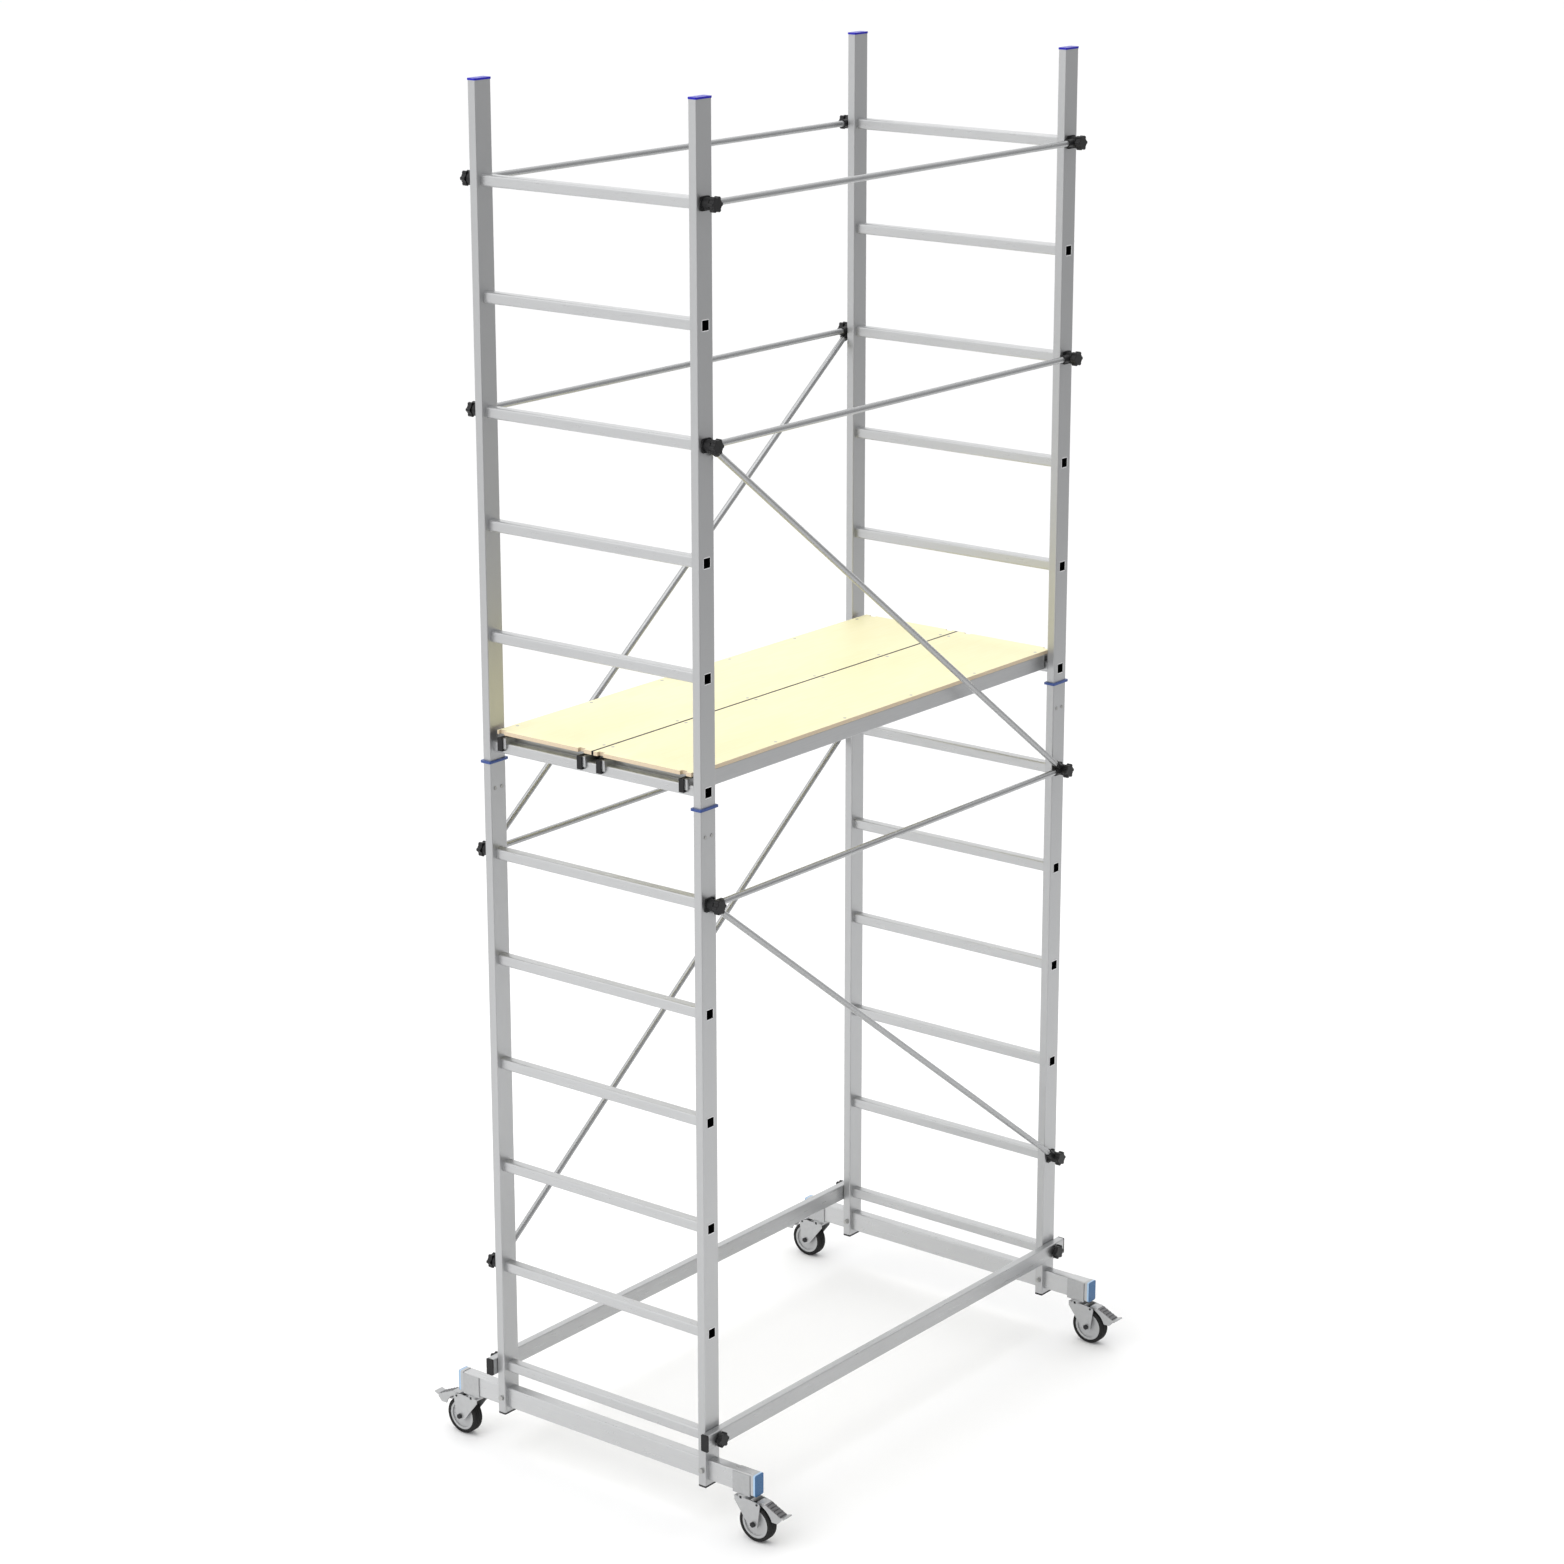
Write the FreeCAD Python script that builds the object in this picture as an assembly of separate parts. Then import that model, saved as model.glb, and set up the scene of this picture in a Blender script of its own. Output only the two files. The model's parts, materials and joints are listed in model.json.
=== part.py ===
import FreeCAD, Part
import math
import os

# Rolling frame scaffold, millimetres. X runs along the deck, Y across the end frames, Z up.
# Origin: on the floor, at the centre of the four casters. sx and sy name a corner by its signs.

frame_width = 700.0
bay_length = 1488.0
rung_pitch = 280.0
rungs_per_section = 6
bottom_rung_above_beam = 60.5
stile_above_rung = 236.0
stile_below_beam = 12.5

stile_depth = 56.0
stile_thickness = 24.0
stile_wall = 1.8
stile_corner = 3.0

rung_size = 28.0
rung_wall = 2.0
rung_corner = 5.0
rung_proud = 0.5

collar_thickness = 6.0
collar_overhang_x = 6.0
collar_overhang_y = 4.5
joint_below_rung = 39.0
spigot_below = 140.0
spigot_above = 100.0
spigot_wall = 2.0
slip_fit = 0.2
rung_slot_clearance = 1.0
rivet_radius = 2.4
rivet_head_height = 1.4
rivet_drop = 67.0
rivet_spread = 12.0

cap_thickness = 5.0
cap_overhang = 1.0
cap_plug_depth = 20.0
foot_flange = 5.0
foot_plug_gap = 1.5

beam_past_swivel = 44.0
beam_width = 30.0
beam_height = 55.0
beam_wall = 2.0
beam_corner = 3.0
beam_cap_lip = 15.0
beam_cap_face = 4.0
beam_cap_wall = 1.5
bolt_radius = 4.0
bolt_head_flat = 13.0
bolt_head_height = 5.5

rail_past_stile = 18.0
rail_thickness = 22.0
rail_height = 45.0
rail_wall = 2.0
rail_corner = 3.0
rail_plug_flange = 4.0
rail_plug_depth = 18.0

brace_radius = 8.0
brace_wall = 1.5
brace_end_gap = 0.8
hub_radius = 15.0
hub_plate = 34.0
hub_plate_thickness = 3.0
hub_sleeve_radius = 10.5
hub_socket_depth = 9.0
brace_drop_rungs = 4
horizontal_levels = (1, 3, 7)

stud_radius = 5.0
stud_running_gap = 0.05
stud_clearance = 0.5
insert_length = 22.0
insert_recess = 1.0
stud_reach = 20.0
knob_face_gap = 0.1
knob_collar_radius = 12.0
knob_collar_height = 3.0
knob_core_radius = 16.0
knob_lobe_radius = 5.0
knob_lobe_circle = 15.0
knob_lobes = 6
knob_head_height = 14.0

swivel_past_stile = 106.0
wheel_trail = 40.0
wheel_radius = 50.0
tyre_thickness = 10.0
tyre_width = 30.0
tyre_shoulder = 3.0
hub_half_width = 17.0
wheel_hub_radius = 12.0
wheel_web_half = 8.0
wheel_rim_half = 13.0
wheel_rim_thickness = 6.0
axle_radius = 4.0
running_gap = 0.05
fork_inner = 17.5
fork_sheet = 3.0
fork_behind_swivel = 20.0
crown_past_swivel = 24.0
axle_past_fork = 4.0
axle_head_height = 5.0
pin_past_fork = 1.0
wheel_headroom = 9.0
crown_thickness = 4.0
race_radius = 21.0
race_height = 3.6
lower_race_height = 3.0
race_gap = 0.4
king_pin_radius = 6.0
king_pin_head_radius = 9.5
king_pin_head_height = 3.5
saddle_sheet = 3.0
saddle_floor = 4.0
saddle_half_length = 27.5
saddle_drop_below_beam_top = 2.0

pedal_past_axle = 11.0
pedal_above_tyre = 6.0
pedal_pin_radius = 3.0
pedal_barrel_radius = 5.0
pedal_half_width = 14.0
pedal_tread_half_width = 13.0
shoe_gap = 6.0
pedal_flange_sheet = 2.5
flange_gap = 1.5
pedal_bend = 70.0
pedal_lip = 85.0
pedal_sheet = 3.5
shoe_near = 16.0
shoe_far = 34.0
shoe_drop = 45.0
tread_ribs = 5
tread_rib_start = 24.0
tread_rib_pitch = 10.0
tread_rib_width = 4.0
tread_rib_depth = 4.0
tread_rib_rise = 0.6

deck_past_rung_centre = 16.0
deck_side_gap = 15.0
board_above_hooks = 7.0
deck_seam_half = 1.5
board_thickness = 10.0
deck_rail_width = 25.0
deck_rail_height = 40.0
deck_rail_wall = 2.0
deck_end_gap = 4.0
cross_bar_size = 25.0
cross_bar_count = 5
hook_width = 15.0
hook_thickness = 9.0
hook_offset = 6.0
hook_height = 34.0
hook_top_thickness = 14.0
hook_edge_inset = 12.0
hook_seam_inset = 22.0
cheek_width = 9.0
cheek_thickness = 5.0
cheek_height = 27.0
hook_play = 0.5
notch_depth = 9.0
notch_margin = 2.0
screw_radius = 2.0
screw_head_radius = 4.5
screw_head_height = 3.0
screw_length = 11.0
screws_per_rail = 6

rung_count = 2 * rungs_per_section
rung_half = rung_size / 2.0
stile_x = bay_length / 2.0
stile_face_y = frame_width / 2.0
stile_y = stile_face_y - stile_thickness / 2.0
rung_end_y = stile_face_y + rung_proud

crown_bottom = 2 * wheel_radius + wheel_headroom
crown_top = crown_bottom + crown_thickness
race_bottom = crown_top + lower_race_height + race_gap
saddle_bottom = race_bottom + race_height
beam_bottom = saddle_bottom + saddle_floor
beam_centre_height = beam_bottom + beam_height / 2.0
beam_top = beam_bottom + beam_height
stile_foot_height = beam_bottom - stile_below_beam
foot_plug_depth = stile_below_beam - foot_plug_gap
swivel_y = stile_face_y + swivel_past_stile
wheel_y = swivel_y + wheel_trail
beam_half_length = swivel_y + beam_past_swivel
rail_half_length = stile_x + stile_depth / 2.0 + rail_past_stile
pedal_pivot_out = wheel_trail + pedal_past_axle
pedal_pivot_height = 2 * wheel_radius + pedal_above_tyre

bottom_rung_height = beam_top + bottom_rung_above_beam
top_rung_height = bottom_rung_height + rung_pitch * (rung_count - 1)
stile_top = top_rung_height + stile_above_rung
joint_rung_height = top_rung_height - rung_pitch * (rungs_per_section - 1)
collar_centre = joint_rung_height - joint_below_rung
lower_stile_top = collar_centre - collar_thickness / 2.0
upper_stile_bottom = collar_centre + collar_thickness / 2.0
hub_outer_y = rung_end_y + rail_thickness
brace_y = rung_end_y + rail_thickness / 2.0

# A brace starts where two tubes leaving one joint have moved clear of each other.
brace_angle = math.atan2(rung_pitch * brace_drop_rungs, bay_length)
brace_start = brace_radius / math.sin(brace_angle / 2.0) + brace_end_gap
hub_sleeve_end = brace_start + hub_socket_depth

hook_top = joint_rung_height + rung_half + hook_top_thickness
board_bottom = hook_top + board_above_hooks
deck_top_height = board_bottom + board_thickness
deck_half_length = stile_x + deck_past_rung_centre
deck_half_width = stile_face_y - stile_thickness - deck_side_gap

ends = (-1, 1)
corners = [(sx, sy) for sx in ends for sy in ends]


def rung_height(level):
    """Height of a rung, counted from 1 at the top."""
    return top_rung_height - rung_pitch * (level - 1)


def box(x0, x1, y0, y1, z0, z1):
    low = FreeCAD.Vector(min(x0, x1), min(y0, y1), min(z0, z1))
    return Part.makeBox(abs(x1 - x0), abs(y1 - y0), abs(z1 - z0), low)


def round_bar(axis, along, across, radius, centre, start, end):
    """Solid bar of rounded rectangular section; along and across are its two section sizes."""
    a = along / 2.0
    b = across / 2.0
    low = min(start, end)
    length = abs(end - start)
    if axis == "X":
        bar = box(low, low + length, centre[0] - a, centre[0] + a, centre[1] - b, centre[1] + b)
    elif axis == "Y":
        bar = box(centre[0] - a, centre[0] + a, low, low + length, centre[1] - b, centre[1] + b)
    else:
        bar = box(centre[0] - a, centre[0] + a, centre[1] - b, centre[1] + b, low, low + length)
    direction = {"X": FreeCAD.Vector(1, 0, 0),
                 "Y": FreeCAD.Vector(0, 1, 0),
                 "Z": FreeCAD.Vector(0, 0, 1)}[axis]
    edges = []
    for edge in bar.Edges:
        tangent = edge.tangentAt(edge.FirstParameter)
        if abs(tangent.dot(direction)) > 0.99:
            edges.append(edge)
    return bar.makeFillet(radius, edges)


def round_tube(axis, along, across, radius, wall, centre, start, end):
    outer = round_bar(axis, along, across, radius, centre, start, end)
    inner_radius = max(radius - wall, 0.4)
    inner = round_bar(axis, along - 2 * wall, across - 2 * wall, inner_radius, centre, start, end)
    return outer.cut(inner)


def rod(radius, start, end):
    """Round rod between two points."""
    base = FreeCAD.Vector(*start)
    line = FreeCAD.Vector(*end) - base
    return Part.makeCylinder(radius, line.Length, base, line)


def pipe(radius, wall, start, end):
    return rod(radius, start, end).cut(rod(radius - wall, start, end))


def hexagon(flat, start, end):
    """Hexagonal bar along X or Y between two points, for bolt heads and nuts."""
    base = FreeCAD.Vector(*start)
    line = FreeCAD.Vector(*end) - base
    circle = flat / math.sqrt(3.0)
    side = FreeCAD.Vector(0, 0, 1)
    other = line.cross(side)
    other.normalize()
    points = []
    for step in range(7):
        angle = math.radians(60 * step)
        points.append(base + side * (circle * math.cos(angle)) + other * (circle * math.sin(angle)))
    return Part.Face(Part.makePolygon(points)).extrude(line)


def prism_x(profile, half_width, sy, x):
    """Prism along X of a (y, z) profile given for the +Y side, placed at a corner."""
    points = [FreeCAD.Vector(x - half_width, sy * y, z) for y, z in profile]
    points.append(points[0])
    return Part.Face(Part.makePolygon(points)).extrude(FreeCAD.Vector(2 * half_width, 0, 0))


def lathe_x(profile, x, y, z):
    """Turned solid about an X axis through (x, y, z); profile is (radius, offset along X)."""
    points = [FreeCAD.Vector(x + offset, y, z + radius) for radius, offset in profile]
    points.append(points[0])
    face = Part.Face(Part.makePolygon(points))
    return face.revolve(FreeCAD.Vector(x, y, z), FreeCAD.Vector(1, 0, 0), 360)


def half_turn(shape):
    turned = shape.copy()
    turned.rotate(FreeCAD.Vector(0, 0, 0), FreeCAD.Vector(0, 0, 1), 180)
    return turned


def with_half_turn(shapes):
    return shapes + [half_turn(shape) for shape in shapes]


def fuse_all(shapes):
    return shapes[0].multiFuse(shapes[1:]).removeSplitter()


def export(name, shapes):
    solids = []
    for shape in shapes:
        solids.extend(shape.Solids)
    whole = solids[0] if len(solids) == 1 else Part.Compound(solids)
    whole.exportStep("parts/" + name + ".step")


def rung_bar(sx, level, y0, y1):
    centre = (sx * stile_x, rung_height(level))
    return round_bar("Y", rung_size, rung_size, rung_corner, centre, y0, y1)


def make_stiles(first_level, bottom, top):
    stiles = []
    for sx, sy in corners:
        centre = (sx * stile_x, sy * stile_y)
        stile = round_tube("Z", stile_depth, stile_thickness, stile_corner, stile_wall, centre, bottom, top)
        cutters = []
        for step in range(rungs_per_section):
            cutters.append(rung_bar(sx, first_level + step, -rung_end_y, rung_end_y))
        if first_level > 1:
            beam_centre = (sx * stile_x, beam_centre_height)
            cutters.append(round_bar("Y", beam_width, beam_height, beam_corner, beam_centre,
                                     -beam_half_length, beam_half_length))
            cutters.append(rod(bolt_radius, (sx * stile_x - stile_depth, sy * stile_y, beam_centre_height),
                               (sx * stile_x + stile_depth, sy * stile_y, beam_centre_height)))
            for shift in (-rivet_spread, rivet_spread):
                cutters.append(rivet_shank(sx, sy, shift))
        stiles.append(stile.cut(cutters))
    return stiles


def rivet_shank(sx, sy, shift):
    x = sx * stile_x + shift
    z = lower_stile_top - rivet_drop
    return rod(rivet_radius, (x, sy * (stile_y - stile_thickness / 2.0), z),
               (x, sy * (stile_y + stile_thickness / 2.0), z))


def make_rungs(first_level):
    rungs = []
    for sx in ends:
        for step in range(rungs_per_section):
            level = first_level + step
            centre = (sx * stile_x, rung_height(level))
            rungs.append(round_tube("Y", rung_size, rung_size, rung_corner, rung_wall, centre,
                                    -rung_end_y, rung_end_y))
    return rungs


def spigot_section():
    inside_depth = stile_depth - 2 * stile_wall - 2 * slip_fit
    inside_thickness = stile_thickness - 2 * stile_wall - 2 * slip_fit
    return inside_depth, inside_thickness


def make_spigots():
    spigots = []
    depth, thickness = spigot_section()
    low = lower_stile_top - spigot_below
    high = upper_stile_bottom + spigot_above
    slot = rung_size / 2.0 + rung_slot_clearance
    for sx, sy in corners:
        x = sx * stile_x
        y = sy * stile_y
        spigot = round_tube("Z", depth, thickness, stile_corner, spigot_wall, (x, y), low, high)
        slot_box = box(x - slot, x + slot, y - thickness, y + thickness,
                       joint_rung_height - slot, high + 1.0)
        cutters = [slot_box]
        for shift in (-rivet_spread, rivet_spread):
            cutters.append(rivet_shank(sx, sy, shift))
        spigots.append(spigot.cut(cutters))
    return spigots


def make_collars():
    collars = []
    depth, thickness = spigot_section()
    for sx, sy in corners:
        centre = (sx * stile_x, sy * stile_y)
        plate = round_bar("Z", stile_depth + 2 * collar_overhang_x, stile_thickness + 2 * collar_overhang_y,
                          stile_corner, centre, lower_stile_top, upper_stile_bottom)
        hole = round_bar("Z", depth, thickness, stile_corner, centre, lower_stile_top, upper_stile_bottom)
        collars.append(plate.cut(hole))
    return collars


def stile_plug(sx, sy, overhang, flange_low, flange_high, plug_low, plug_high):
    """Flange over the end of a stile with a plug that fills the inside of the tube."""
    centre = (sx * stile_x, sy * stile_y)
    flange = round_bar("Z", stile_depth + 2 * overhang, stile_thickness + 2 * overhang, stile_corner,
                       centre, flange_low, flange_high)
    plug = round_bar("Z", stile_depth - 2 * stile_wall, stile_thickness - 2 * stile_wall,
                     stile_corner - stile_wall, centre, plug_low, plug_high)
    return flange.fuse(plug)


def make_fasteners():
    """Beam bolts with their nuts, and the rivets of the spigots."""
    pieces = []
    reach = stile_depth / 2.0
    for sx, sy in corners:
        y = sy * stile_y
        out = sx * (stile_x + reach)
        back = sx * (stile_x - reach)
        tip = back - sx * (bolt_head_height + 2.0)
        shank = rod(bolt_radius, (out, y, beam_centre_height), (tip, y, beam_centre_height))
        head = hexagon(bolt_head_flat, (out, y, beam_centre_height),
                       (out + sx * bolt_head_height, y, beam_centre_height))
        nut = hexagon(bolt_head_flat, (back, y, beam_centre_height),
                      (back - sx * bolt_head_height, y, beam_centre_height))
        pieces.append(shank.fuse(head))
        pieces.append(nut.cut(shank))
        for shift in (-rivet_spread, rivet_spread):
            rivet = rivet_shank(sx, sy, shift)
            x = sx * stile_x + shift
            z = lower_stile_top - rivet_drop
            for face in (stile_y - stile_thickness / 2.0, stile_y + stile_thickness / 2.0):
                outward = rivet_head_height if face > stile_y else -rivet_head_height
                cap = rod(2 * rivet_radius, (x, sy * face, z), (x, sy * (face + outward), z))
                rivet = rivet.fuse(cap)
            pieces.append(rivet)
    return pieces


def make_crossbeams():
    beams = []
    end = beam_half_length - beam_cap_face
    for sx in ends:
        centre = (sx * stile_x, beam_centre_height)
        beam = round_tube("Y", beam_width, beam_height, beam_corner, beam_wall, centre, -end, end)
        cutters = []
        for sy in ends:
            cutters.append(rod(bolt_radius, (sx * stile_x - beam_width, sy * stile_y, beam_centre_height),
                               (sx * stile_x + beam_width, sy * stile_y, beam_centre_height)))
            cutters.append(rod(king_pin_radius, (sx * stile_x, sy * swivel_y, beam_bottom - 1),
                               (sx * stile_x, sy * swivel_y, beam_bottom + beam_wall + 1)))
        beams.append(beam.cut(cutters))
    return beams


def make_beam_caps():
    caps = []
    for sx, sy in corners:
        centre = (sx * stile_x, beam_centre_height)
        outer = round_bar("Y", beam_width + 2 * beam_cap_wall, beam_height + 2 * beam_cap_wall,
                          beam_corner + beam_cap_wall, centre, sy * (beam_half_length - beam_cap_lip),
                          sy * beam_half_length)
        room = round_bar("Y", beam_width, beam_height, beam_corner, centre,
                         sy * (beam_half_length - beam_cap_lip - 1), sy * (beam_half_length - beam_cap_face))
        caps.append(outer.cut(room))
    return caps


def make_base_rails():
    rails = []
    end = rail_half_length - rail_plug_flange
    for sy in ends:
        centre = (sy * (rung_end_y + rail_thickness / 2.0), bottom_rung_height)
        rail = round_tube("X", rail_thickness, rail_height, rail_corner, rail_wall, centre, -end, end)
        cutters = []
        for sx in ends:
            cutters.append(rod(stud_radius + stud_clearance, (sx * stile_x, sy * (rung_end_y - 1), centre[1]),
                               (sx * stile_x, sy * (hub_outer_y + 1), centre[1])))
        rails.append(rail.cut(cutters))
    return rails


def make_rail_plugs():
    plugs = []
    end = rail_half_length - rail_plug_flange
    for sx, sy in corners:
        centre = (sy * (rung_end_y + rail_thickness / 2.0), bottom_rung_height)
        flange = round_bar("X", rail_thickness, rail_height, rail_corner, centre,
                           sx * end, sx * rail_half_length)
        plug = round_bar("X", rail_thickness - 2 * rail_wall, rail_height - 2 * rail_wall,
                         rail_corner - rail_wall, centre, sx * (end - rail_plug_depth), sx * end)
        plugs.append(flange.fuse(plug))
    return plugs


def front_joint(sx, level):
    return (sx * stile_x, -brace_y, rung_height(level))


def along(start, end, distance):
    a = FreeCAD.Vector(*start)
    step = FreeCAD.Vector(*end) - a
    step.normalize()
    point = a + step * distance
    return (point.x, point.y, point.z)


# The front face's braces, as pairs of (end sign, rung level); the back face is its half turn.
horizontal_braces = [((-1, level), (1, level)) for level in horizontal_levels]
diagonal_braces = [((-1, level), (1, level + brace_drop_rungs)) for level in (3, 7)]


def make_braces(pairs):
    braces = []
    for first, second in pairs:
        a = front_joint(*first)
        b = front_joint(*second)
        braces.append(pipe(brace_radius, brace_wall, along(a, b, brace_start), along(b, a, brace_start)))
    return with_half_turn(braces)


def brace_joints():
    joints = {}
    for first, second in horizontal_braces + diagonal_braces:
        joints.setdefault(first, []).append(second)
        joints.setdefault(second, []).append(first)
    return joints


def make_hubs():
    hubs = []
    for place, partners in sorted(brace_joints().items()):
        x, y, z = front_joint(*place)
        body = rod(hub_radius, (x, -rung_end_y, z), (x, -hub_outer_y, z))
        plate = round_bar("Y", hub_plate, hub_plate, rung_corner, (x, z), -rung_end_y,
                          -(rung_end_y + hub_plate_thickness))
        parts = [body, plate]
        cutters = [rod(stud_radius + stud_clearance, (x, -rung_end_y + 1, z), (x, -hub_outer_y - 1, z))]
        for partner in partners:
            goal = front_joint(*partner)
            parts.append(rod(hub_sleeve_radius, (x, y, z), along((x, y, z), goal, hub_sleeve_end)))
            cutters.append(rod(brace_radius, along((x, y, z), goal, brace_start),
                               along((x, y, z), goal, hub_sleeve_end + 1)))
        hubs.append(parts[0].multiFuse(parts[1:]).cut(cutters))
    return with_half_turn(hubs)


def knob_places():
    """Front-face knobs: every brace joint and both base rail ends, as (sx, level)."""
    places = sorted(set(brace_joints()) | {(-1, rung_count), (1, rung_count)})
    return places


def make_inserts():
    inserts = []
    side = rung_size - 2 * rung_wall
    for sx, level in knob_places():
        x = sx * stile_x
        z = rung_height(level)
        outer = rung_end_y - insert_recess
        block = round_bar("Y", side, side, rung_corner - rung_wall, (x, z), -outer, -(outer - insert_length))
        bore = rod(stud_radius + stud_running_gap, (x, -outer - 1, z), (x, -(outer - insert_length - 1), z))
        inserts.append(block.cut(bore))
    return with_half_turn(inserts)


def make_knob():
    """Star knob with its moulded-in stud, along -Y, for a joint at x = 0, z = 0."""
    face = hub_outer_y + knob_face_gap
    shoulder = face + knob_collar_height
    crest = shoulder + knob_head_height
    parts = [rod(knob_core_radius, (0, -shoulder, 0), (0, -crest, 0))]
    for step in range(knob_lobes):
        angle = 2 * math.pi * step / knob_lobes
        x = knob_lobe_circle * math.cos(angle)
        z = knob_lobe_circle * math.sin(angle)
        parts.append(rod(knob_lobe_radius, (x, -shoulder, z), (x, -crest, z)))
    head = fuse_all(parts)
    rims = [edge for edge in head.Edges if abs(edge.BoundBox.YMin + crest) < 0.01
            and abs(edge.BoundBox.YMax + crest) < 0.01]
    head = head.makeFillet(2.0, rims)
    collar = rod(knob_collar_radius, (0, -face, 0), (0, -shoulder - 1, 0))
    stud = rod(stud_radius, (0, -(rung_end_y - stud_reach), 0), (0, -shoulder - 1, 0))
    return fuse_all([head, collar, stud])


def make_saddles():
    """Saddle under the beam with the upper swivel race, and the king pin that clamps it to the beam."""
    pieces = []
    half = beam_width / 2.0
    for sx, sy in corners:
        x = sx * stile_x
        y = sy * swivel_y
        low_y = y - saddle_half_length
        high_y = y + saddle_half_length
        floor = box(x - half - saddle_sheet, x + half + saddle_sheet, low_y, high_y,
                    saddle_bottom, beam_bottom)
        top = beam_top - saddle_drop_below_beam_top
        left = box(x - half - saddle_sheet, x - half, low_y, high_y, beam_bottom, top)
        right = box(x + half, x + half + saddle_sheet, low_y, high_y, beam_bottom, top)
        race = rod(race_radius, (x, y, race_bottom), (x, y, saddle_bottom))
        saddle = fuse_all([floor, left, right, race])
        bore = rod(king_pin_radius, (x, y, race_bottom - 1), (x, y, beam_bottom + 1))
        pieces.append(saddle.cut(bore))
        foot = crown_bottom - race_gap
        seat = beam_bottom + beam_wall
        shank = rod(king_pin_radius, (x, y, foot), (x, y, seat))
        upper = rod(king_pin_head_radius, (x, y, seat), (x, y, seat + king_pin_head_height))
        lower = rod(king_pin_head_radius, (x, y, foot - king_pin_head_height), (x, y, foot))
        pieces.append(fuse_all([shank, upper, lower]))
    return pieces


def make_fork(sx, sy):
    """Sheet fork with its axle bolt and pedal pin."""
    x = sx * stile_x
    back = swivel_y - fork_behind_swivel
    outline = [(back, crown_top), (back, crown_bottom - 8.0),
               (wheel_y - 14.0, wheel_radius - 8.0), (wheel_y, wheel_radius - 13.0),
               (wheel_y + 12.0, wheel_radius - 7.0), (wheel_y + 21.0, pedal_pivot_height - 4.0),
               (wheel_y + 19.0, crown_bottom), (wheel_y - 6.0, crown_top)]
    parts = []
    for side in ends:
        centre = x + side * (fork_inner + fork_sheet / 2.0)
        parts.append(prism_x(outline, fork_sheet / 2.0, sy, centre))
    reach = fork_inner + fork_sheet
    parts.append(box(x - reach, x + reach, sy * back, sy * (swivel_y + crown_past_swivel),
                     crown_bottom, crown_top))
    parts.append(rod(race_radius, (x, sy * swivel_y, crown_bottom),
                     (x, sy * swivel_y, crown_top + lower_race_height)))
    fork = fuse_all(parts)
    pivot_y = sy * (swivel_y + pedal_pivot_out)
    axle_reach = reach + axle_past_fork
    pin_reach = reach + pin_past_fork
    axle = rod(axle_radius, (x - axle_reach, sy * wheel_y, wheel_radius),
               (x + axle_reach, sy * wheel_y, wheel_radius))
    pin = rod(pedal_pin_radius, (x - pin_reach, pivot_y, pedal_pivot_height),
              (x + pin_reach, pivot_y, pedal_pivot_height))
    bore = rod(king_pin_radius + running_gap, (x, sy * swivel_y, crown_bottom - 1),
               (x, sy * swivel_y, race_bottom))
    fork = fork.cut([axle, pin, bore])
    head = hexagon(bolt_head_flat, (x - reach, sy * wheel_y, wheel_radius),
                   (x - reach - axle_head_height, sy * wheel_y, wheel_radius))
    nut = hexagon(bolt_head_flat, (x + reach, sy * wheel_y, wheel_radius),
                  (x + reach + axle_head_height, sy * wheel_y, wheel_radius))
    return [fork, fuse_all([axle, head, nut]), pin]


def make_wheel(sx, sy):
    rim = wheel_radius - tyre_thickness
    bore = axle_radius + running_gap
    inner_rim = rim - wheel_rim_thickness
    profile = [(bore, -hub_half_width), (wheel_hub_radius, -hub_half_width),
               (wheel_hub_radius, -wheel_web_half),
               (inner_rim, -wheel_web_half), (inner_rim, -wheel_rim_half), (rim, -wheel_rim_half),
               (rim, wheel_rim_half), (inner_rim, wheel_rim_half), (inner_rim, wheel_web_half),
               (wheel_hub_radius, wheel_web_half), (wheel_hub_radius, hub_half_width), (bore, hub_half_width)]
    return [lathe_x(profile, sx * stile_x, sy * wheel_y, wheel_radius)]


def make_tyre(sx, sy):
    half = tyre_width / 2.0
    rim = wheel_radius - tyre_thickness
    profile = [(rim, -half), (wheel_radius - tyre_shoulder, -half), (wheel_radius, -half + tyre_shoulder),
               (wheel_radius, half - tyre_shoulder), (wheel_radius - tyre_shoulder, half), (rim, half)]
    return [lathe_x(profile, sx * stile_x, sy * wheel_y, wheel_radius)]


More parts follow.
